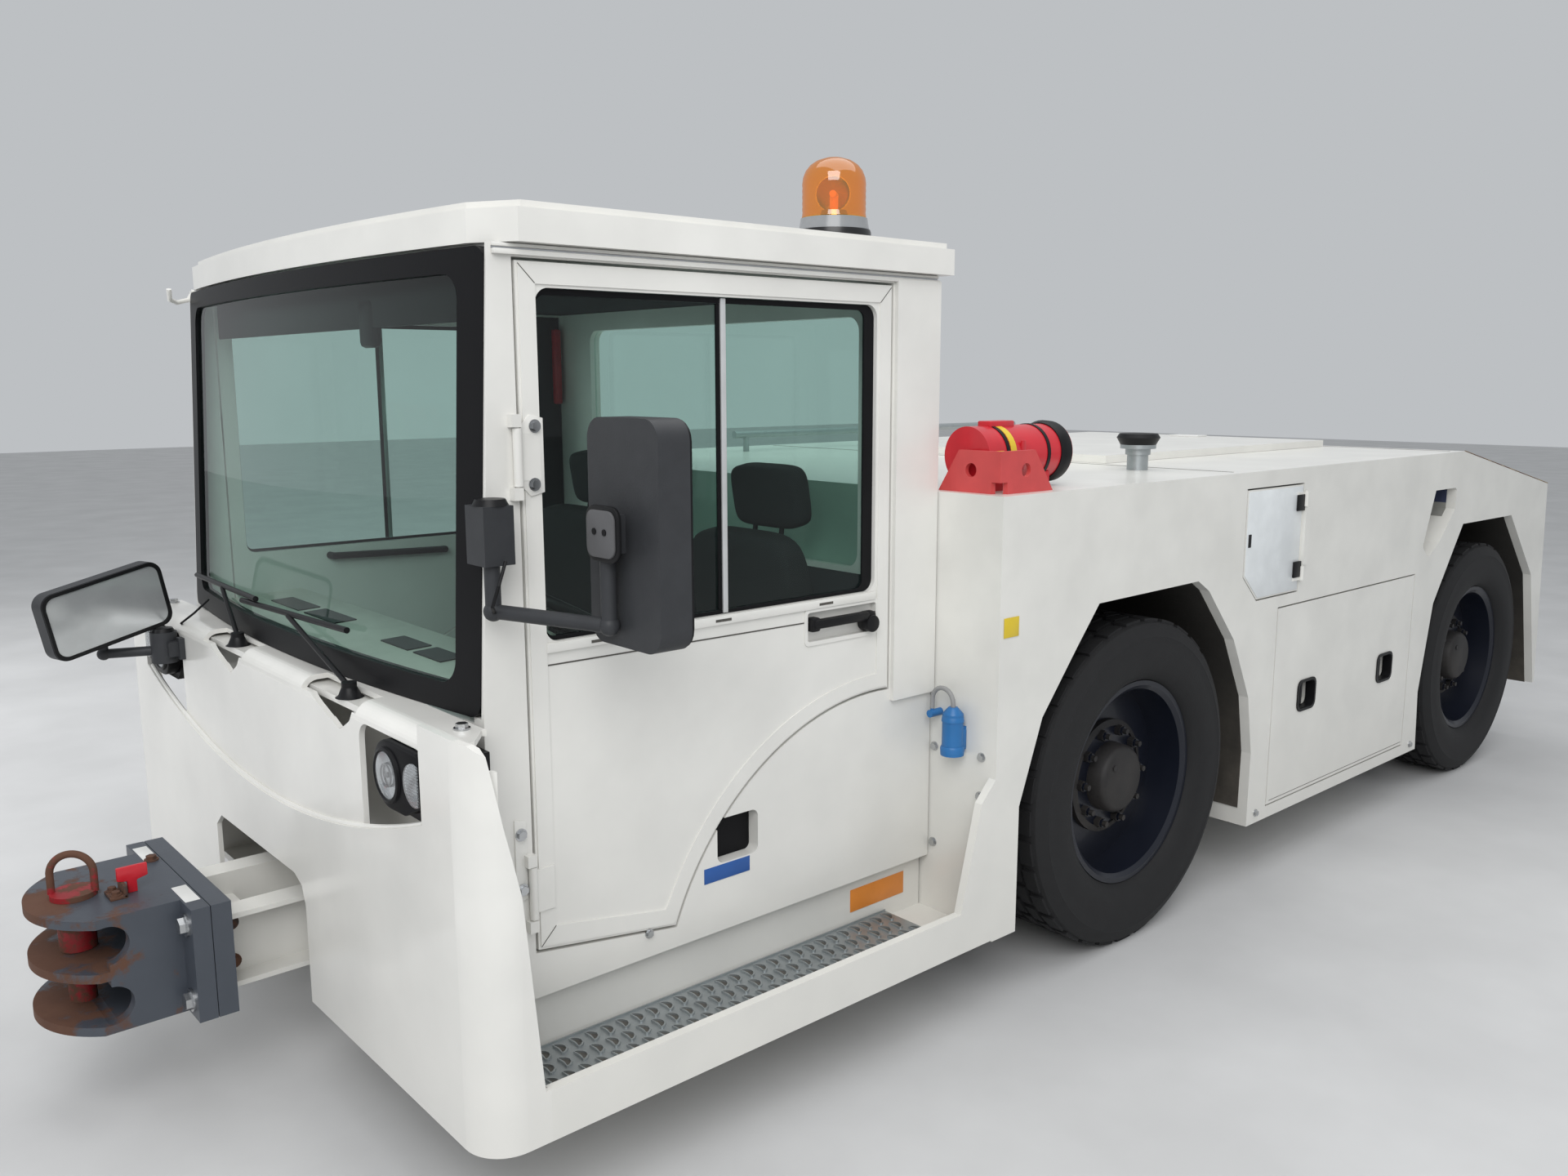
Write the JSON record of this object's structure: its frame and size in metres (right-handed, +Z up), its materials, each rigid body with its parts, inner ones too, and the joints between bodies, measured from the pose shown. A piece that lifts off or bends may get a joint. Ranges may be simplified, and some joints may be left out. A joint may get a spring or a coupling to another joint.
{
  "type": "aircraft pushback tractor",
  "caption": "Low aircraft pushback tractor with a front cab, side steps, a long flat deck, four rubber tyres, and a jawed tow coupling at each end.",
  "frame": {"origin": "on the ground under the middle of the vehicle's overall length and width, the left mirror included", "axes": "+X forward, +Y to the vehicle's left, +Z up"},
  "size_m": [5.94, 2.359, 2.1493],
  "materials": {
    "cream_paint": "gloss cream-white paint, a little dirt and rust at the edges",
    "galvanised": "galvanised steel",
    "black_rubber": "black window rubber",
    "cab_glass": "slightly green safety glass",
    "dash_plastic": "pale textured plastic",
    "black_plastic": "black and dark grey moulded plastic",
    "seat_cloth": "black seat cloth",
    "engine_paint": "grey engine paint",
    "axle_paint": "black chassis paint, dusty",
    "rim_paint": "blue-black wheel paint",
    "tyre_rubber": "worn tyre rubber",
    "jaw_paint": "dark grey paint, rusty on the jaw plates",
    "red_paint": "red paint",
    "lamp_plastic": "black lamp bezel",
    "amber_plastic": "amber clear lens on a black foot",
    "blue_plastic": "blue plug and socket"
  },
  "bodies": {
    "tractor": {"chassis": "cream_paint", "body_sides": "cream_paint", "step_floor": "cream_paint", "front_apron": "cream_paint", "nose_panel": "cream_paint", "step_gratings": "galvanised", "cab_frame": "cream_paint", "cab_roof": "cream_paint", "windscreen_rubber": "black_rubber", "cab_glass": "cab_glass", "dashboard": "dash_plastic", "seats": "seat_cloth", "wipers": "black_plastic", "engine_block": "engine_paint", "front_axle": "axle_paint", "rear_axle": "axle_paint", "coupling_frame": "cream_paint", "front_jaws": "jaw_paint", "rear_jaws": "jaw_paint", "headlamps": "lamp_plastic", "mirrors": "black_plastic", "beacon": "amber_plastic", "lifting_brackets": "red_paint", "extinguisher": "red_paint", "deck_fittings": "galvanised", "charge_lead": "blue_plastic"},
    "left_door": {"door_left": "cream_paint", "door_glass_left": "cab_glass"},
    "right_door": {"door_right": "cream_paint", "door_glass_right": "cab_glass"},
    "steering_wheel_body": {"steering_wheel": "black_plastic"},
    "left_knuckle": {"knuckle_left": "axle_paint"},
    "right_knuckle": {"knuckle_right": "axle_paint"},
    "front_left_wheel": {"rim_front_left": "rim_paint", "tyre_front_left": "tyre_rubber"},
    "front_right_wheel": {"rim_front_right": "rim_paint", "tyre_front_right": "tyre_rubber"},
    "rear_left_wheel": {"rim_rear_left": "rim_paint", "tyre_rear_left": "tyre_rubber"},
    "rear_right_wheel": {"rim_rear_right": "rim_paint", "tyre_rear_right": "tyre_rubber"},
    "front_pin": {"front_tow_pin": "red_paint"},
    "rear_pin": {"rear_tow_pin": "red_paint"},
    "lid": {"engine_lid": "cream_paint"},
    "hatch": {"fuel_hatch": "cream_paint"},
    "left_panel": {"service_panel_left": "cream_paint"},
    "right_panel": {"service_panel_right": "cream_paint"}
  },
  "joints": [
    {"name": "left_door_hinge", "type": "hinge", "parent": "tractor", "child": "left_door", "pos_m": [2.231, 0.8045, 1.1], "axis": [0, 0, -1], "range_deg": [0, 40]},
    {"name": "right_door_hinge", "type": "hinge", "parent": "tractor", "child": "right_door", "pos_m": [2.231, -0.9695, 1.1], "axis": [0, 0, 1], "range_deg": [0, 70]},
    {"name": "steering_wheel_turn", "type": "hinge", "parent": "tractor", "child": "steering_wheel_body", "pos_m": [1.896, 0.3375, 1.0801], "axis": [-0.4997, 0, 0.8662], "range_deg": [-540, 540]},
    {"name": "left_knuckle_steer", "type": "hinge", "parent": "tractor", "child": "left_knuckle", "pos_m": [0.373, 0.7175, 0.479], "axis": [0, 0, 1], "range_deg": [-26, 26]},
    {"name": "right_knuckle_steer", "type": "hinge", "parent": "tractor", "child": "right_knuckle", "pos_m": [0.373, -0.8825, 0.479], "axis": [0, 0, 1], "range_deg": [-26, 26]},
    {"name": "front_left_wheel_turn", "type": "hinge", "parent": "left_knuckle", "child": "front_left_wheel", "pos_m": [0.373, 0.8675, 0.479], "axis": [0, 1, 0], "continuous": true},
    {"name": "front_right_wheel_turn", "type": "hinge", "parent": "right_knuckle", "child": "front_right_wheel", "pos_m": [0.373, -1.0325, 0.479], "axis": [0, 1, 0], "continuous": true},
    {"name": "rear_left_wheel_turn", "type": "hinge", "parent": "tractor", "child": "rear_left_wheel", "pos_m": [-2.087, 0.8675, 0.479], "axis": [0, 1, 0], "continuous": true},
    {"name": "rear_right_wheel_turn", "type": "hinge", "parent": "tractor", "child": "rear_right_wheel", "pos_m": [-2.087, -1.0325, 0.479], "axis": [0, 1, 0], "continuous": true},
    {"name": "front_pin_lift", "type": "slide", "parent": "tractor", "child": "front_pin", "axis": [0, 0, 1], "range_m": [0, 0.28]},
    {"name": "rear_pin_lift", "type": "slide", "parent": "tractor", "child": "rear_pin", "axis": [0, 0, 1], "range_m": [0, 0.23]},
    {"name": "engine_lid_hinge", "type": "hinge", "parent": "tractor", "child": "lid", "pos_m": [-0.927, -0.6625, 1.364], "axis": [1, 0, 0], "range_deg": [0, 60]},
    {"name": "fuel_hatch_hinge", "type": "hinge", "parent": "tractor", "child": "hatch", "pos_m": [-0.475, 1.0235, 1.12], "axis": [0, 0, 1], "range_deg": [0, 110]},
    {"name": "left_panel_hinge", "type": "hinge", "parent": "tractor", "child": "left_panel", "pos_m": [-0.872, 1.0085, 0.254], "axis": [-1, 0, 0], "range_deg": [0, 85]},
    {"name": "right_panel_hinge", "type": "hinge", "parent": "tractor", "child": "right_panel", "pos_m": [-0.872, -1.1735, 0.254], "axis": [1, 0, 0], "range_deg": [0, 85]}
  ],
  "couplings": [
    {"joint": "left_knuckle_steer", "follows": "steering_wheel_turn", "ratio": 0.048148},
    {"joint": "right_knuckle_steer", "follows": "steering_wheel_turn", "ratio": 0.048148}
  ]
}
